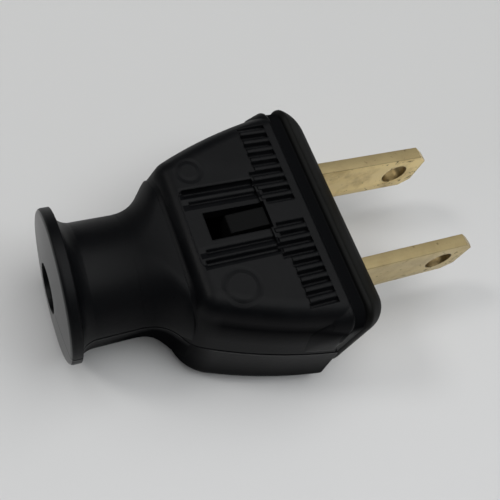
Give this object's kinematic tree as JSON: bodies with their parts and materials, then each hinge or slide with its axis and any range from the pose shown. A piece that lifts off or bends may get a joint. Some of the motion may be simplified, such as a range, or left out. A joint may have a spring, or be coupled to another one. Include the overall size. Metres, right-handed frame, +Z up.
{
  "type": "two_prong_plug",
  "caption": "Two-prong mains plug for a flexible cord: rounded front plate, ribbed grip, narrow neck and flared cord end, two flat blades with tip holes",
  "frame": {"origin": "Middle of the front mating face, halfway between the two blades.", "axes": "+X out of the front face along the blades, +Y to the left blade, +Z up as the plug lies on its lower half."},
  "size_m": [0.0488, 0.0294, 0.0158],
  "materials": {
    "shell_plastic": "fine satin moulding, black",
    "core_plastic": "fine satin moulding, black",
    "blade_brass": "stamped brass, faint rolling lines",
    "screw_metal": "plated steel, turned head"
  },
  "bodies": {
    "root": {"shell": "shell_plastic", "core": "core_plastic", "blade_left": "blade_brass", "blade_right": "blade_brass", "screw_left": "screw_metal", "screw_right": "screw_metal"}
  },
  "joints": []
}
